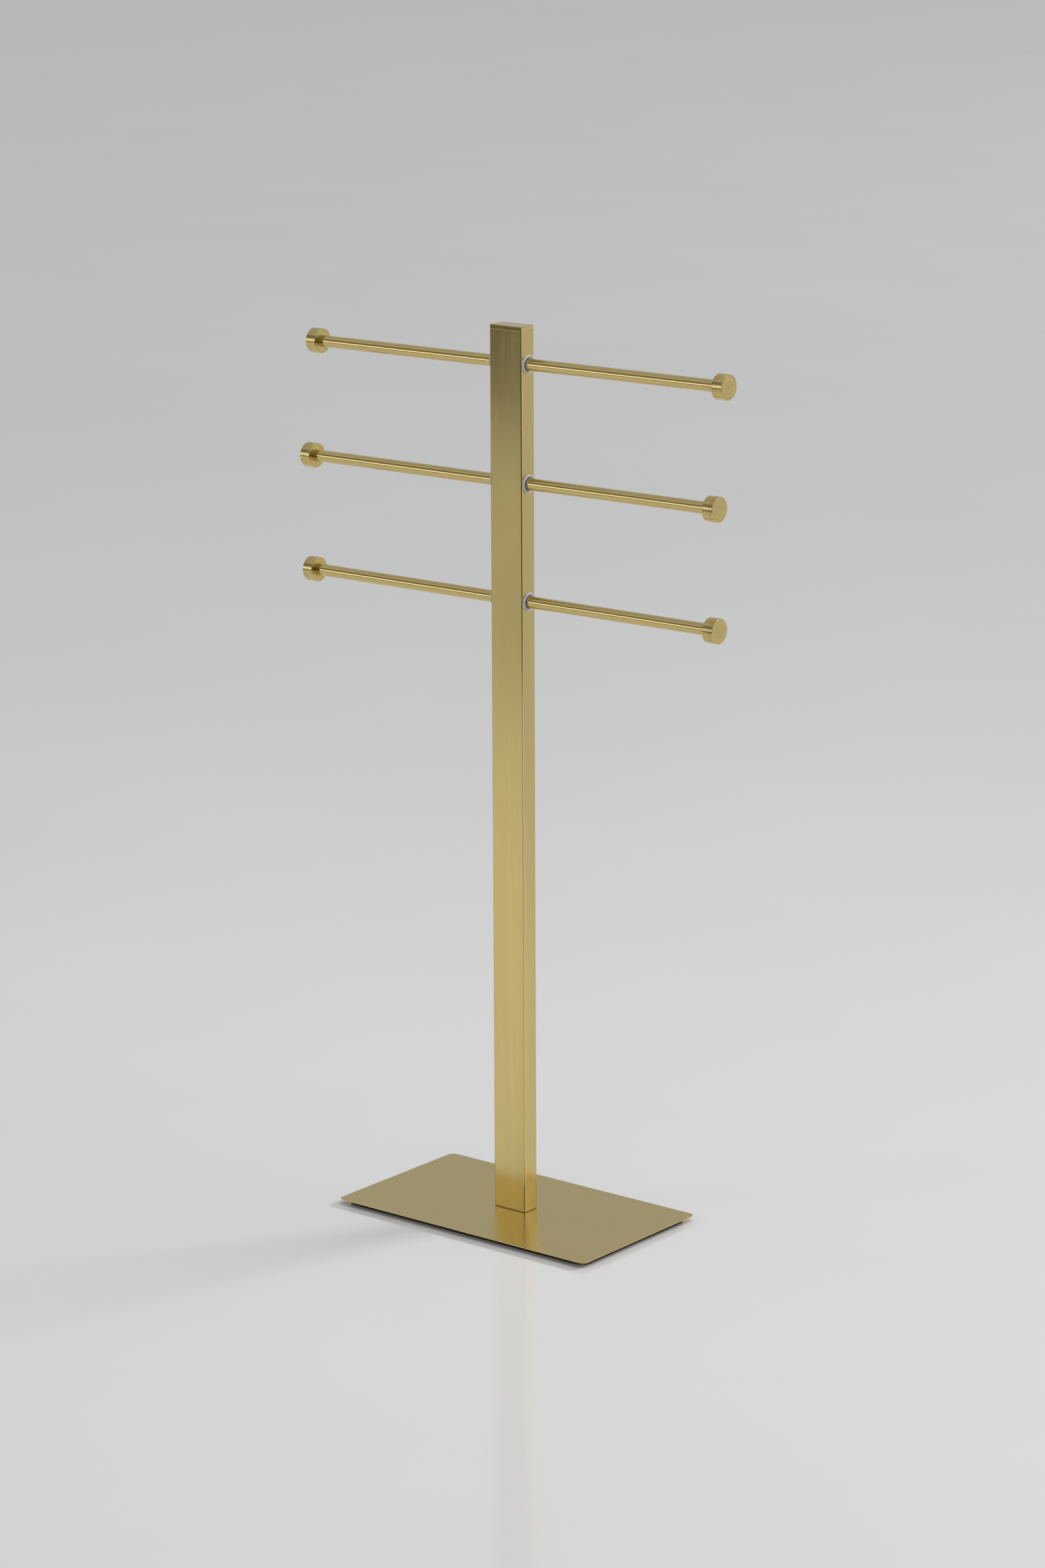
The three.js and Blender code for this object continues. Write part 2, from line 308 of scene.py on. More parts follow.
def amber_silicone_painted_lighter():
    # Cast silicone, brown and slightly clear. Its amber tone is painted lighter than the
    # silicone, as painted reflection of the gold beside it and painted light against the shade
    # under the foot.
    material, tree, surface = new_finish(
        "amber silicone", Specular_IOR_Level=0.4, Coat_Weight=0.15, Coat_Roughness=0.3)
    cloud = noise(tree, (500, 500, 500), 3.0)
    # Painted light: both ambers are lighter than the silicone's own brown.
    tone = blend_colour(tree, ranged(tree, cloud, 0, 1),
                        (0.520, 0.380, 0.110, 1), (0.640, 0.480, 0.160, 1))
    bump = add(tree, "ShaderNodeBump",
               {"Height": cloud, "Strength": 0.2, "Distance": 0.03 * MM})
    tree.links.new(tone, surface.inputs["Base Color"])
    tree.links.new(ranged(tree, cloud, 0.4, 0.55), surface.inputs["Roughness"])
    tree.links.new(bump.outputs[0], surface.inputs["Normal"])
    return material


gasket_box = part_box("post_foot_gasket")
gasket = finished(
    "post_foot_gasket_silicone",
    plate(softened(gasket_box, 1.2 * MM, 0.12 * MM, 0.12 * MM),
          [round_hole(x, 0, (shank_room, gasket_box[0][2]), (shank_room, gasket_box[1][2]))
           for x in screw_places]),
    amber_silicone_painted_lighter())
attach(gasket, "stand")
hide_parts("post_foot_gasket")


# ------------------------------------------------------------------ foot block and screws
# A threaded steel block is welded inside the post's foot, and two zinc-plated countersunk
# screws pull it down from under the base. They keep the shapes that they have.


def machined_steel(name, colour, cells, shine):
    # Cut or plated steel: fine tool marks, and a slightly cloudy surface.
    material, tree, surface = new_finish(name, Metallic=1.0)
    marks = noise(tree, cells, 2.0)
    cloud = noise(tree, (160, 160, 160), 3.0)
    dull = [c * 0.72 for c in colour]
    tone = blend_colour(tree, ranged(tree, cloud, 0, 1), (*dull, 1), (*colour, 1))
    bump = add(tree, "ShaderNodeBump",
               {"Height": marks, "Strength": 0.25, "Distance": 0.03 * MM})
    tree.links.new(tone, surface.inputs["Base Color"])
    tree.links.new(ranged(tree, marks, shine, shine + 0.16), surface.inputs["Roughness"])
    tree.links.new(bump.outputs[0], surface.inputs["Normal"])
    return material


zinc = machined_steel("zinc plate", (0.60, 0.62, 0.65), (900, 900, 2600), 0.26)
cut_steel = machined_steel("cut steel", (0.44, 0.45, 0.47), (2200, 300, 300), 0.34)


def dress(node, material):
    """Gives a CAD piece that stays as it is a better finish."""
    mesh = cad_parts[node].data
    mesh.materials.clear()
    mesh.materials.append(material)


dress("post_foot_block", cut_steel)
for side in ("left", "right"):
    dress(f"base_screw_{side}", zinc)


# ------------------------------------------------------------------ post
# Rectangular steel tube, brushed from top to bottom and coated satin gold. Each narrow side
# has one round hole for every rod's bushing; both ends are cut square and broken lightly.

post_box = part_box("post_tube")
post_corner, post_wall = 1.6 * MM, 1.2 * MM
post_edge = 0.15 * MM
bushing_hole = 7.32 * MM
RIM_STEPS = 64
LEVELS = ("top", "middle", "bottom")
SIDES = ("left", "right")
rod_middles = {level: sum(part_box(f"rod_tube_{level}"), Vector()) / 2 for level in LEVELS}


def post_tube():
    bm = bmesh.new()
    bottom, top = post_box[0].z, post_box[1].z
    inner_corner = post_corner - post_wall
    inner_box = (post_box[0] + Vector((post_wall, post_wall, 0)),
                 post_box[1] - Vector((post_wall, post_wall, 0)))
    walls = {
        "outer": [[bm.verts.new(p) for p in outline(post_box, post_corner, height, inset)]
                  for height, inset in ((bottom, post_edge), (bottom + post_edge, 0),
                                        (top - post_edge, 0), (top, post_edge))],
        "inner": [[bm.verts.new(p) for p in outline(inner_box, inner_corner, height)]
                  for height in (bottom, bottom + post_edge, top - post_edge, top)]}
    # The flat part of each narrow side lies between two corners of the outline.
    count = len(walls["outer"][0])
    narrow = {count - 1: 1, count // 2 - 1: -1}
    rims = {}
    for wall, loops in walls.items():
        for band, (lower, upper) in enumerate(zip(loops, loops[1:])):
            for i in range(count):
                j = (i + 1) % count
                corners = (lower[i], lower[j], upper[j], upper[i])
                if band != 1 or i not in narrow:
                    bm.faces.new(corners)
                    continue
                x = corners[0].co.x
                edges = [bm.edges.get((a, b)) or bm.edges.new((a, b))
                         for a, b in zip(corners, corners[1:] + corners[:1])]
                for level in LEVELS:
                    rim = [bm.verts.new((x, bushing_hole * math.cos(turn),
                                         rod_middles[level].z + bushing_hole * math.sin(turn)))
                           for turn in (math.tau * step / RIM_STEPS
                                        for step in range(RIM_STEPS))]
                    rims[wall, narrow[i], level] = rim
                    edges += [bm.edges.new((rim[k - 1], rim[k])) for k in range(RIM_STEPS)]
                bmesh.ops.triangle_fill(bm, use_beauty=True, edges=edges)
    for side in (1, -1):
        for level in LEVELS:
            outer, inner = rims["outer", side, level], rims["inner", side, level]
            for k in range(RIM_STEPS):
                bm.faces.new((outer[k - 1], outer[k], inner[k], inner[k - 1]))
    for end in (0, -1):
        outer, inner = walls["outer"][end], walls["inner"][end]
        for i in range(count):
            j = (i + 1) % count
            bm.faces.new((outer[i], outer[j], inner[j], inner[i]))
    return bm


post = finished("post_tube_brushed", post_tube(),
                brushed_gold("brushed gold post", "Z", shine=0.17, anisotropy=0.4, streak=0.5,
                             hair=0.7))
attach(post, "stand")
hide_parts("post_tube")


# ------------------------------------------------------------------ top cap
# A cast cap, polished and coated, flush with the post all round. Its hollow spigot pushes
# into the tube, and the two lightly broken edges leave a fine seam.

cap_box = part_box("post_top_cap")
seam = post_box[1].z
spigot_gap, spigot_wall, spigot_rounding = 0.15 * MM, 2 * MM, 0.4 * MM
top_edge, top_edge_steps = 0.6 * MM, 6


def top_cap():
    spigot_inset = post_wall + spigot_gap
    hollow_inset = spigot_inset + spigot_wall
    spigot_corner = spigot_inset + spigot_rounding
    hollow_corner = hollow_inset + spigot_rounding
    rings = [outline(cap_box, hollow_corner, seam, hollow_inset),
             outline(cap_box, hollow_corner, cap_box[0].z, hollow_inset),
             outline(cap_box, spigot_corner, cap_box[0].z, spigot_inset),
             outline(cap_box, spigot_corner, seam, spigot_inset),
             outline(cap_box, post_corner, seam, post_edge),
             outline(cap_box, post_corner, seam + post_edge)]
    for step in range(top_edge_steps + 1):
        turn = math.pi / 2 / top_edge_steps * step
        height = cap_box[1].z - top_edge * (1 - math.sin(turn))
        rings.append(outline(cap_box, post_corner, height, top_edge * (1 - math.cos(turn))))
    return plate(rings)


def polished_gold():
    # Polished casting: near mirror, with hairline wiping marks and a faint swell.
    material, tree, surface = new_finish("polished gold", Metallic=1.0)
    wiping = noise(tree, (90, 1500, 1500), 3.0)
    swell = noise(tree, (70, 70, 70), 1.0)
    tone = blend_colour(tree, ranged(tree, swell, 0, 1),
                        (0.640, 0.510, 0.205, 1), LIGHT_GOLD)
    bump = add(tree, "ShaderNodeBump",
               {"Height": swell, "Strength": 0.15, "Distance": 0.05 * MM})
    tree.links.new(tone, surface.inputs["Base Color"])
    tree.links.new(ranged(tree, wiping, 0.10, 0.17), surface.inputs["Roughness"])
    tree.links.new(bump.outputs[0], surface.inputs["Normal"])
    return material


post_cap = finished("post_top_cap_polished", top_cap(), polished_gold())
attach(post_cap, "stand")
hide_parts("post_top_cap")


# ------------------------------------------------------------------ bushings
# Six moulded nylon bushings, one each side of the post at every rod. A rounded flange lies
# on the post, a funnel leads to the bore, and a barbed sleeve snaps in behind the wall.


class Size:
    """A size inside a node tree, so that sums of sizes read as sums."""

    def __init__(self, tree, socket):
        self.tree, self.socket = tree, socket

    def sum(self, operation, first, second):
        node = self.tree.nodes.new("ShaderNodeMath")
        node.operation = operation
        for slot, value in zip(node.inputs, (first, second)):
            if isinstance(value, Size):
                self.tree.links.new(value.socket, slot)
            else:
                slot.default_value = value
        return Size(self.tree, node.outputs[0])

    def __add__(self, other):
        return self.sum("ADD", self, other)

    def __sub__(self, other):
        return self.sum("SUBTRACT", self, other)

    def __mul__(self, other):
        return self.sum("MULTIPLY", self, other)

    def __neg__(self):
        return self.sum("MULTIPLY", self, -1.0)


def feed(tree, value, socket):
    """Joins a size to a socket, or sets a plain number there."""
    if isinstance(value, Size):
        tree.links.new(value.socket, socket)
    else:
        socket.default_value = value


def new_tree(name, **sizes):
    """A node tree with one named input for each size; returns it and its sizes."""
    tree = bpy.data.node_groups.new(name, "GeometryNodeTree")
    tree.interface.new_socket(name="Geometry", in_out="OUTPUT", socket_type="NodeSocketGeometry")
    for label, kind in sizes.items():
        tree.interface.new_socket(name=label, in_out="INPUT", socket_type=f"NodeSocket{kind}")
    given = tree.nodes.new("NodeGroupInput")
    return tree, {label: Size(tree, given.outputs[label]) for label in sizes}


def by_index(tree, kind, index, values):
    """Picks one of the values by a whole number."""
    switch = add(tree, "GeometryNodeIndexSwitch", data_type=kind)
    tree.links.new(index, switch.inputs[0])
    while len(switch.index_switch_items) < len(values):
        switch.index_switch_items.new()
    for slot, value in enumerate(values):
        if isinstance(value, bpy.types.NodeSocket):
            tree.links.new(value, switch.inputs[slot + 1])
        else:
            feed(tree, value, switch.inputs[slot + 1])
    return switch.outputs[0]


def turned(tree, facets, corners):
    """Turns an outline about X. Each corner is (radius, distance along, rounding)."""
    index = add(tree, "GeometryNodeInputIndex").outputs[0]
    places = []
    for radius, along, _ in corners:
        place = add(tree, "ShaderNodeCombineXYZ")
        feed(tree, radius, place.inputs["X"])
        feed(tree, along, place.inputs["Y"])
        places.append(place.outputs[0])
    points = add(tree, "GeometryNodePoints",
                 {"Count": len(corners), "Position": by_index(tree, "VECTOR", index, places)})
    drawn = add(tree, "GeometryNodePointsToCurves", {"Points": points.outputs[0]})
    rounded = add(tree, "GeometryNodeFilletCurve",
                  {"Curve": drawn.outputs[0], "Limit Radius": True,
                   "Radius": by_index(tree, "FLOAT", index, [c[2] for c in corners])},
                  mode="POLY")
    rounded.inputs["Count"].default_value = 5
    count = add(tree, "GeometryNodeAttributeDomainSize", {"Geometry": rounded.outputs[0]},
                component="CURVE")
    steps = facets + 1
    grid = add(tree, "GeometryNodeMeshGrid",
               {"Size X": 1.0, "Size Y": 1.0, "Vertices X": count.outputs["Point Count"],
                "Vertices Y": steps.socket})
    number = Size(tree, index)
    corner = number.sum("FLOOR", number.sum("DIVIDE", number, steps), 0.0)
    turn = number.sum("MODULO", number, steps)
    turn = turn.sum("DIVIDE", turn, facets) * math.tau
    here = add(tree, "GeometryNodeInputPosition")
    taken = add(tree, "GeometryNodeSampleIndex",
                {"Geometry": rounded.outputs[0], "Index": corner.socket},
                data_type="FLOAT_VECTOR", domain="POINT")
    tree.links.new(here.outputs[0], taken.inputs["Value"])
    split = add(tree, "ShaderNodeSeparateXYZ", {0: taken.outputs[0]})
    radius, along = Size(tree, split.outputs["X"]), Size(tree, split.outputs["Y"])
    placed = add(tree, "ShaderNodeCombineXYZ",
                 {"X": along.socket,
                  "Y": (radius * turn.sum("COSINE", turn, 0.0)).socket,
                  "Z": (radius * turn.sum("SINE", turn, 0.0)).socket})
    wrapped = add(tree, "GeometryNodeSetPosition",
                  {"Geometry": grid.outputs["Mesh"], "Position": placed.outputs[0]})
    marked = add(tree, "GeometryNodeStoreNamedAttribute",
                 {"Geometry": wrapped.outputs[0], "Name": "from_axis",
                  "Value": length_from_axis(tree)}, data_type="FLOAT", domain="POINT")
    merged = add(tree, "GeometryNodeMergeByDistance",
                 {"Geometry": marked.outputs[0], "Distance": 1e-6})
    return merged.outputs[0]


def length_from_axis(tree):
    here = add(tree, "GeometryNodeInputPosition")
    flat = add(tree, "ShaderNodeVectorMath",
               {0: here.outputs[0], 1: (0.0, 1.0, 1.0)}, operation="MULTIPLY")
    return add(tree, "ShaderNodeVectorMath", {0: flat.outputs[0]},
               operation="LENGTH").outputs["Value"]


def set_out(tree, part, material, positions, turns):
    """Repeats the part at each position, turned about Z, and ends the tree."""
    index = add(tree, "GeometryNodeInputIndex").outputs[0]
    points = add(tree, "GeometryNodePoints",
                 {"Count": len(positions),
                  "Position": by_index(tree, "VECTOR", index, positions)})
    way = add(tree, "ShaderNodeCombineXYZ", {"Z": by_index(tree, "FLOAT", index, turns)})
    rotation = add(tree, "FunctionNodeEulerToRotation", {0: way.outputs[0]})
    copies = add(tree, "GeometryNodeInstanceOnPoints",
                 {"Points": points.outputs[0], "Instance": part,
                  "Rotation": rotation.outputs[0]})
    real = add(tree, "GeometryNodeRealizeInstances", {"Geometry": copies.outputs[0]})
    dressed = add(tree, "GeometryNodeSetMaterial",
                  {"Geometry": real.outputs[0], "Material": material.socket})
    out = tree.nodes.new("NodeGroupOutput")
    tree.links.new(dressed.outputs[0], out.inputs[0])


def grown(name, tree, material, **values):
    """Runs a tree once with these sizes and keeps what it makes as a plain, finished mesh."""
    carrier = bpy.data.objects.new(name + "_plan", bpy.data.meshes.new(name + "_plan"))
    bpy.context.scene.collection.objects.link(carrier)
    build = carrier.modifiers.new("build", "NODES")
    build.node_group = tree
    values["Material"] = material
    for item in tree.interface.items_tree:
        if item.in_out == "INPUT":
            build[item.identifier] = values[item.name]
    depsgraph = bpy.context.evaluated_depsgraph_get()
    made = bpy.data.meshes.new_from_object(carrier.evaluated_get(depsgraph),
                                           preserve_all_data_layers=True, depsgraph=depsgraph)
    bm = bmesh.new()
    bm.from_mesh(made)
    bpy.data.objects.remove(carrier)
    bpy.data.meshes.remove(made)
    return finished(name, bm, material)


def centre_vector(tree, x, z):
    place = add(tree, "ShaderNodeCombineXYZ")
    feed(tree, x, place.inputs["X"])
    feed(tree, z, place.inputs["Z"])
    return place.outputs[0]


def bushing_tree():
    tree, s = new_tree(
        "nylon bushings", Bore="Float", Sleeve="Float", Flange="Float", Inner_end="Float",
        Wall="Float", Face="Float", Rim_width="Float", Funnel_depth="Float", Barb="Float",
        Top_level="Float", Level_spacing="Float", Facets="Int", Material="Material")
    bore, sleeve, flange = s["Bore"], s["Sleeve"], s["Flange"]
    wall, face, barb = s["Wall"], s["Face"], s["Barb"]
    rim = flange - s["Rim_width"]
    funnel = face - s["Funnel_depth"]
    barb_length = 1.4 * MM
    barb_front = wall - barb_length
    barb_back = wall - 2 * barb_length
    part = turned(tree, s["Facets"], [
        (bore, s["Inner_end"], 0.0), (sleeve - barb, s["Inner_end"], 0.15 * MM),
        (sleeve, barb_back, 0.0), (sleeve + barb, barb_front, 0.1 * MM),
        (sleeve, barb_front, 0.0), (sleeve, wall, 0.0), (flange, wall, 0.1 * MM),
        (flange, face, 0.75 * MM), (rim, face, 0.55 * MM), (rim - 0.35 * MM, funnel, 0.3 * MM),
        (bore, funnel - 0.25 * MM, 0.15 * MM), (bore, s["Inner_end"], 0.0)])
    places = [centre_vector(tree, 0.0, s["Top_level"] - s["Level_spacing"] * float(level))
              for level in range(3) for _ in SIDES]
    set_out(tree, part, s["Material"], places, [math.pi, 0.0] * 3)
    return tree


def nylon_with_painted_funnel_shade():
    # Natural nylon lets a little light through. The rim keeps the nylon's pale colour; the thin
    # funnel round the bore is painted slate grey, as painted shade of the recess over the bore.
    material, tree, surface = new_finish(
        "nylon with painted funnel shade", Specular_IOR_Level=0.55, Subsurface_Weight=0.15,
        Subsurface_Scale=0.4 * MM)
    reach = add(tree, "ShaderNodeAttribute", attribute_name="from_axis")
    mottle = noise(tree, (700, 700, 700), 3.0)
    shade = add(tree, "ShaderNodeMath",
                {0: reach.outputs["Fac"], 1: ranged(tree, mottle, -0.1 * MM, 0.1 * MM)},
                operation="ADD")
    # Painted shade: slate grey within 6.5 mm of the axis, pale nylon beyond 7.1 mm.
    ramp = ranged(tree, shade.outputs[0], 0.0, 1.0, 6.5 * MM, 7.1 * MM)
    tone = blend_colour(tree, ramp, (0.180, 0.170, 0.210, 1), (0.60, 0.59, 0.61, 1))
    bump = add(tree, "ShaderNodeBump",
               {"Height": mottle, "Strength": 0.2, "Distance": 0.03 * MM})
    tree.links.new(tone, surface.inputs["Base Color"])
    tree.links.new(ranged(tree, mottle, 0.26, 0.38), surface.inputs["Roughness"])
    tree.links.new(bump.outputs[0], surface.inputs["Normal"])
    return material


bushing_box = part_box("rod_bushing_top_right")
bushings = grown(
    "rod_bushings_nylon", bushing_tree(), nylon_with_painted_funnel_shade(),
    Bore=6.1 * MM, Sleeve=7.2 * MM, Flange=(bushing_box[1].y - bushing_box[0].y) / 2,
    Inner_end=bushing_box[0].x, Wall=post_box[1].x, Face=bushing_box[1].x, Rim_width=1.5 * MM,
    Funnel_depth=0.35 * MM, Barb=0.35 * MM, Top_level=rod_middles["top"].z,
    Level_spacing=rod_middles["top"].z - rod_middles["middle"].z, Facets=72)
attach(bushings, "stand")
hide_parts(*[f"rod_bushing_{level}_{side}" for level in LEVELS for side in SIDES])


# ------------------------------------------------------------------ rods
# Three straight 12 mm tubes, drawn and then brushed along their length. Each one slides
# through the post, so each is a body of its own.


def rod_tree():
    tree, s = new_tree(
        "rod tube", Radius="Float", Bore="Float", Half_length="Float", Middle="Float",
        Height="Float", Facets="Int", Material="Material")
    radius, bore, half = s["Radius"], s["Bore"], s["Half_length"]
    part = turned(tree, s["Facets"], [
        (bore, -half, 0.0), (radius, -half, 0.25 * MM), (radius, half, 0.25 * MM),
        (bore, half, 0.1 * MM), (bore, -half, 0.0)])
    set_out(tree, part, s["Material"], [centre_vector(tree, s["Middle"], s["Height"])], [0.0])
    return tree


rod_plan = rod_tree()
for level in LEVELS:
    low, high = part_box(f"rod_tube_{level}")
    middle = rod_middles[level]
    rod = grown(
        f"rod_tube_{level}_brushed", rod_plan,
        brushed_gold(f"brushed gold rod {level}", "X", shine=0.13, anisotropy=0.0,
                     streak=0.5, hair=0.4, centre=middle),
        Radius=(high.z - low.z) / 2, Bore=5 * MM, Half_length=(high.x - low.x) / 2,
        Middle=middle.x, Height=middle.z, Facets=96)
    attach(rod, f"rod_{level}")
    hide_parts(f"rod_tube_{level}")


# ------------------------------------------------------------------ end caps
# Solid round caps, turned on a lathe and coated satin gold. The rod's end sits in a shallow
# counterbore, and a tapped hole takes the stud.


def turned_gold(name, middle):
    # Turned work: rings round the rod's axis, finer on the side than on the face.
    material, tree, surface = new_finish(
        name, Metallic=1.0, Anisotropic=0.45, Anisotropic_Rotation=0.25)
    here = add(tree, "ShaderNodeTexCoord").outputs["Object"]
    centred = add(tree, "ShaderNodeMapping",
                  {"Vector": here, "Location": (0.0, -middle.y, -middle.z)})
    lay = add(tree, "ShaderNodeVectorMath", {0: (1.0, 0.02, 0.01), 1: centred.outputs[0]},
              operation="CROSS_PRODUCT")
    flat = add(tree, "ShaderNodeVectorMath", {0: centred.outputs[0], 1: (0.0, 1.0, 1.0)},
               operation="MULTIPLY")
    radius = add(tree, "ShaderNodeVectorMath", {0: flat.outputs[0]}, operation="LENGTH")
    split = add(tree, "ShaderNodeSeparateXYZ", {0: here})
    ring_place = add(tree, "ShaderNodeCombineXYZ",
                     {"X": radius.outputs["Value"], "Y": split.outputs["X"]})
    rings = add(tree, "ShaderNodeTexNoise",
                {"Vector": ring_place.outputs[0], "Scale": 2400.0, "Detail": 2.0}).outputs[0]
    coarse = add(tree, "ShaderNodeTexNoise",
                 {"Vector": ring_place.outputs[0], "Scale": 420.0, "Detail": 2.0}).outputs[0]
    handling = noise(tree, (60, 60, 60), 3.0)
    tone = blend_colour(tree, ranged(tree, coarse, 0, 1),
                        (0.575, 0.450, 0.172, 1), LIGHT_GOLD)
    height = add(tree, "ShaderNodeMath",
                 {0: rings, 1: ranged(tree, coarse, 0, 2.0)}, operation="ADD")
    bump = add(tree, "ShaderNodeBump",
               {"Height": height.outputs[0], "Strength": 0.2, "Distance": 0.02 * MM})
    rough = add(tree, "ShaderNodeMath",
                {0: ranged(tree, rings, 0.19, 0.26), 1: ranged(tree, handling, -0.01, 0.03)},
                operation="ADD")
    tree.links.new(tone, surface.inputs["Base Color"])
    tree.links.new(rough.outputs[0], surface.inputs["Roughness"])
    tree.links.new(bump.outputs[0], surface.inputs["Normal"])
    tree.links.new(lay.outputs[0], surface.inputs["Tangent"])
    return material


def end_cap_tree():
    tree, s = new_tree(
        "end caps", Radius="Float", Length="Float", Face="Float", Counterbore="Float",
        Rod_end="Float", Tap="Float", Tap_depth="Float", Inner_edge="Float",
        Outer_edge="Float", Middle="Float", Height="Float", Facets="Int", Material="Material")
    inside = s["Face"] - s["Length"]
    tap_end = s["Rod_end"] + s["Tap_depth"]
    part = turned(tree, s["Facets"], [
        (0.0, tap_end, 0.0), (s["Tap"], tap_end, 0.0), (s["Tap"], s["Rod_end"], 0.0),
        (s["Counterbore"], s["Rod_end"], 0.0), (s["Counterbore"], inside, 0.1 * MM),
        (s["Radius"], inside, s["Inner_edge"]), (s["Radius"], s["Face"], s["Outer_edge"]),
        (0.0, s["Face"], 0.0)])
    both = [centre_vector(tree, s["Middle"], s["Height"])] * 2
    set_out(tree, part, s["Material"], both, [math.pi, 0.0])
    return tree


end_cap_plan = end_cap_tree()
for level in LEVELS:
    low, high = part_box(f"end_cap_{level}_right")
    middle = rod_middles[level]
    caps = grown(
        f"end_caps_{level}_turned", end_cap_plan,
        turned_gold(f"turned gold caps {level}", middle),
        Radius=(high.z - low.z) / 2, Length=high.x - low.x, Face=high.x - middle.x,
        Counterbore=6.1 * MM, Rod_end=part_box(f"rod_tube_{level}")[1].x - middle.x,
        Tap=3.1 * MM, Tap_depth=5.5 * MM, Inner_edge=0.35 * MM, Outer_edge=0.55 * MM,
        Middle=middle.x, Height=middle.z, Facets=120)
    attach(caps, f"rod_{level}")
    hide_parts(f"end_cap_{level}_left", f"end_cap_{level}_right")


# ------------------------------------------------------------------ plugs and studs
# A steel plug is pressed in each rod's end, and a stud joins it to the cap. They are hidden
# inside, and keep the shapes that they have.

for level in LEVELS:
    for side in SIDES:
        dress(f"rod_plug_{level}_{side}", cut_steel)
        dress(f"cap_stud_{level}_{side}", zinc)


# ------------------------------------------------------------------ floor
# A plain pale floor with a low polish, so that the base leaves a dark echo in it.


def pale_floor():
    material, tree, surface = new_finish("pale floor", Specular_IOR_Level=0.5)
    cloud = noise(tree, (1.6, 1.6, 1.6), 4.0)
    tone = blend_colour(tree, ranged(tree, cloud, 0, 1),
                        (0.770, 0.775, 0.780, 1), (0.800, 0.802, 0.805, 1))
    tree.links.new(tone, surface.inputs["Base Color"])
    tree.links.new(ranged(tree, cloud, 0.10, 0.14), surface.inputs["Roughness"])
    return material


half_floor = 40
floor_mesh = bpy.data.meshes.new("floor")
floor_mesh.from_pydata([(-half_floor, -half_floor, 0), (half_floor, -half_floor, 0),
                        (half_floor, half_floor, 0), (-half_floor, half_floor, 0)],
                       [], [(0, 1, 2, 3)])
floor_mesh.materials.append(pale_floor())
floor = bpy.data.objects.new("floor", floor_mesh)
bpy.context.scene.collection.objects.link(floor)


# ------------------------------------------------------------------ screens
# Three curved studio screens, two dark and one bright, stand out of view. The metal mirrors
# them as lines along its edges; they throw no shadow and light nothing else.


def screen(name, distance, from_turn, to_turn, foot, top, tone):
    """A curved screen round the rack. Turns are from the front, towards the right."""
    material, _, surface = new_finish(
        name, Base_Color=(0.004, 0.004, 0.004, 1), Roughness=1.0, Specular_IOR_Level=0.0,
        Emission_Color=(1.0, 0.99, 0.97, 1), Emission_Strength=tone)
    mesh = bpy.data.meshes.new(name)
    steps = 24
    points, faces = [], []
    for step in range(steps + 1):
        turn = math.radians(from_turn + (to_turn - from_turn) * step / steps)
        x, y = distance * math.sin(turn), -distance * math.cos(turn)
        points += [(x, y, foot), (x, y, top)]
        if step < steps:
            k = 2 * step
            faces.append((k, k + 1, k + 3, k + 2))
    mesh.from_pydata(points, [], faces)
    mesh.materials.append(material)
    panel = bpy.data.objects.new(name, mesh)
    bpy.context.scene.collection.objects.link(panel)
    panel.visible_camera = False
    panel.visible_diffuse = False
    panel.visible_shadow = False


screen("dark screen front right", distance=0.8, from_turn=-18, to_turn=62, foot=0.38, top=0.82,
       tone=0.04)
screen("grey screen far left", distance=4.9, from_turn=-80, to_turn=-23, foot=0.001, top=0.58,
       tone=0.08)
screen("bright screen right", distance=2.0, from_turn=68, to_turn=104, foot=0.001, top=1.1,
       tone=1.0)


# ------------------------------------------------------------------ light
# Plain soft studio light: a wide window-like panel front left and a tall narrow one at the
# back right, which the metal mirrors; overhead panels and a low far one behind, which it
# doesn't; and a pale room all round.


def soft_panel(name, place, aim, width, height, power, mirrored=True, lights_floor=True,
               colour=(1.0, 1.0, 1.0)):
    lamp = bpy.data.lights.new(name, "AREA")
    lamp.shape = "RECTANGLE"
    lamp.size, lamp.size_y = width, height
    lamp.energy = power
    lamp.color = colour
    holder = bpy.data.objects.new(name, lamp)
    holder.rotation_mode = "QUATERNION"
    holder.location = place
    holder.rotation_quaternion = (Vector(aim) - Vector(place)).to_track_quat("-Z", "Y")
    holder.visible_camera = False
    holder.visible_glossy = mirrored
    holder.visible_diffuse = lights_floor
    bpy.context.scene.collection.objects.link(holder)


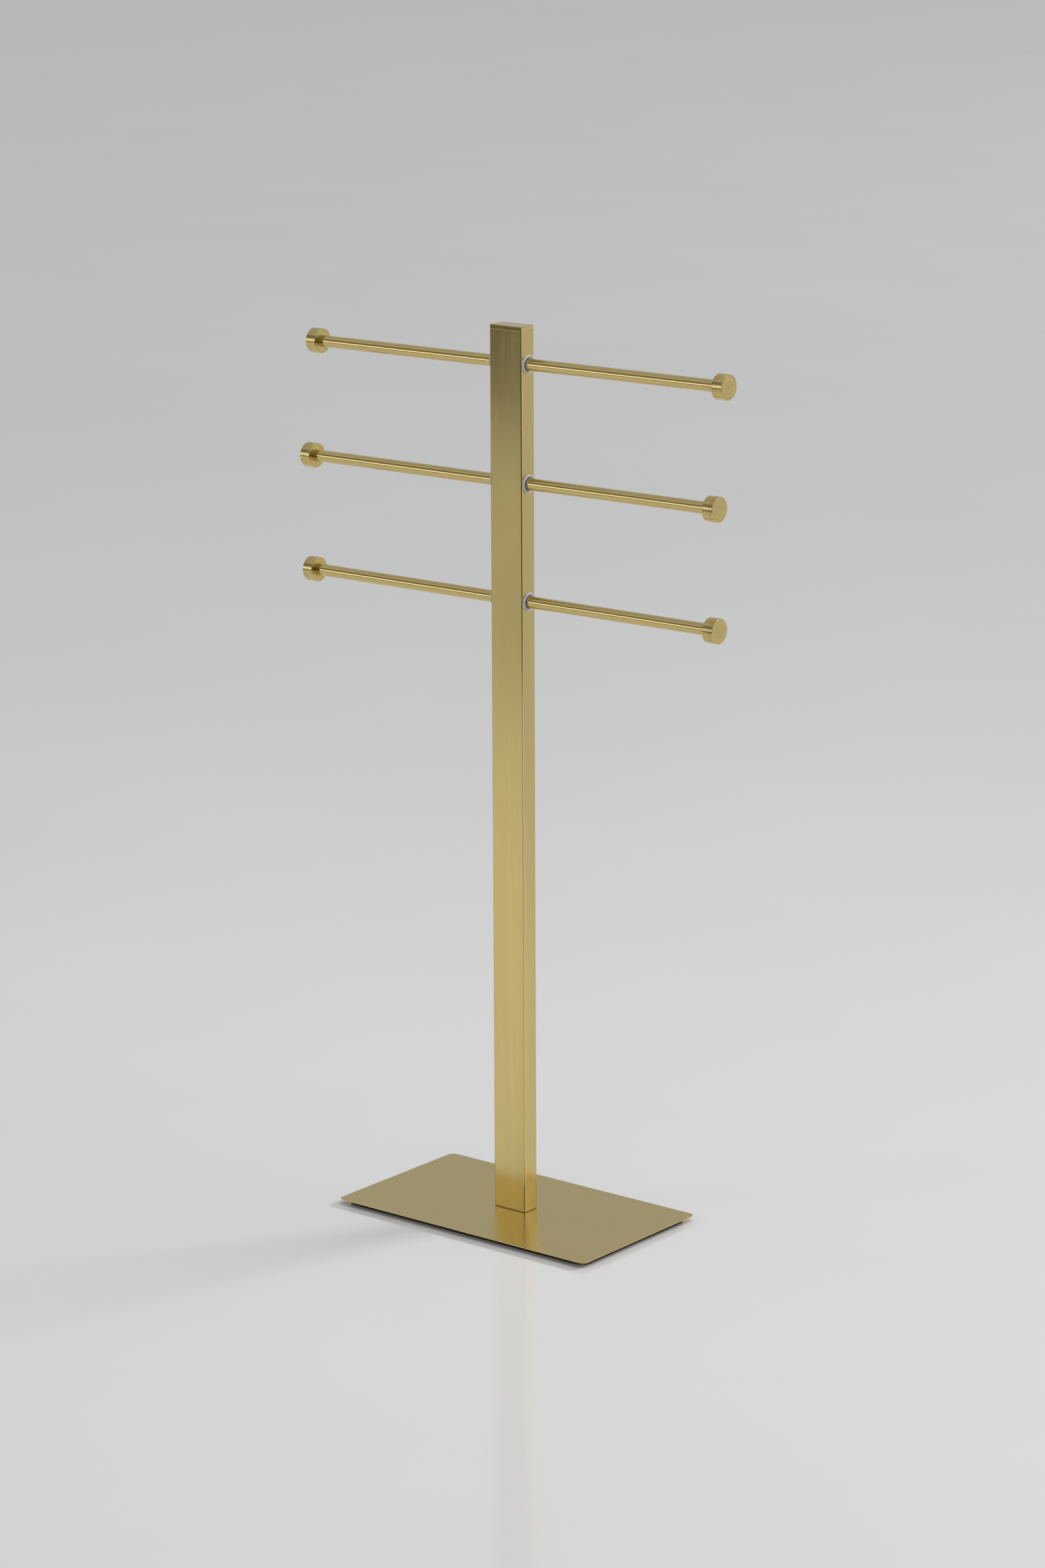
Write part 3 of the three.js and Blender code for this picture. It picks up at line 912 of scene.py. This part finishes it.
soft_panel("window panel", place=(-3.9, -4.0, 1.36), aim=(0.0, 0.0, 0.85),
           width=4.6, height=1.45, power=21)
soft_panel("tall panel back right", place=(3.49, 3.14, 1.7), aim=(0.0, 0.0, 0.4),
           width=0.55, height=1.7, power=16, lights_floor=False)
soft_panel("overhead panel", place=(0.9, 0.5, 2.8), aim=(0.2, 0.1, 0.0),
           width=2.0, height=2.0, power=25, mirrored=False)
soft_panel("low light from the back", place=(7.7, 16.7, 8.5), aim=(0.0, 0.0, 0.0),
           width=6.0, height=1.0, power=1900, mirrored=False)
soft_panel("overhead panel front left", place=(-3.6, -4.5, 2.2), aim=(-3.6, -4.5, 0.0),
           width=2.0, height=2.0, power=72, mirrored=False)
soft_panel("overhead panel back right", place=(3.2, 4.0, 2.6), aim=(3.2, 4.0, 0.0),
           width=2.0, height=2.0, power=8, mirrored=False, colour=(0.86, 0.95, 1.0))


def pale_room():
    world = bpy.data.worlds.new("pale room")
    world.use_nodes = True
    tree = world.node_tree
    background = tree.nodes["Background"]
    way = add(tree, "ShaderNodeTexCoord").outputs["Generated"]
    split = add(tree, "ShaderNodeSeparateXYZ", {0: way})
    up, back = split.outputs["Z"], split.outputs["Y"]
    ramp = add(tree, "ShaderNodeValToRGB", {0: up})
    ramp.color_ramp.interpolation = "EASE"
    # (height in the room, as the sine of the angle up; tone there)
    tones = ((0.0, 0.44), (0.26, 0.42), (0.36, 0.20), (0.55, 0.20), (0.63, 0.50), (0.70, 0.60),
             (0.79, 0.44))
    marks = ramp.color_ramp.elements
    while len(marks) < len(tones):
        marks.new(0.5)
    for mark, (place, tone) in zip(marks, tones):
        mark.position = place
        mark.color = (tone, tone * 0.995, tone * 0.985, 1)
    behind = ranged(tree, back, 0.0, 1.0, -0.25, 0.15)
    back_wall = (0.490, 0.490, 0.490, 1)
    mix = blend_colour(tree, behind, ramp.outputs[0], back_wall)
    tree.links.new(mix, background.inputs["Color"])
    background.inputs["Strength"].default_value = 1.0
    bpy.context.scene.world = world


pale_room()
bpy.context.scene.view_settings.view_transform = "Standard"


# ------------------------------------------------------------------ camera
# A long lens from the front right, a little above the top rod and looking slightly down.

turn, tip, lean = -0.6736, 0.2426, 0.0041
viewpoint = Vector((2.7272, -3.4030, 1.5305))
forward = Vector((math.sin(turn) * math.cos(tip), math.cos(turn) * math.cos(tip), -math.sin(tip)))
level_right = Vector((math.cos(turn), -math.sin(turn), 0.0))
level_down = forward.cross(level_right)
right = math.cos(lean) * level_right + math.sin(lean) * level_down
down = math.cos(lean) * level_down - math.sin(lean) * level_right

lens = bpy.data.cameras.new("camera")
lens.lens = 103.15
lens.sensor_width = 36.0
camera = bpy.data.objects.new("camera", lens)
camera.matrix_world = Matrix.Translation(viewpoint) @ Matrix(
    (right, -down, -forward)).transposed().to_4x4()
bpy.context.scene.collection.objects.link(camera)
bpy.context.scene.camera = camera
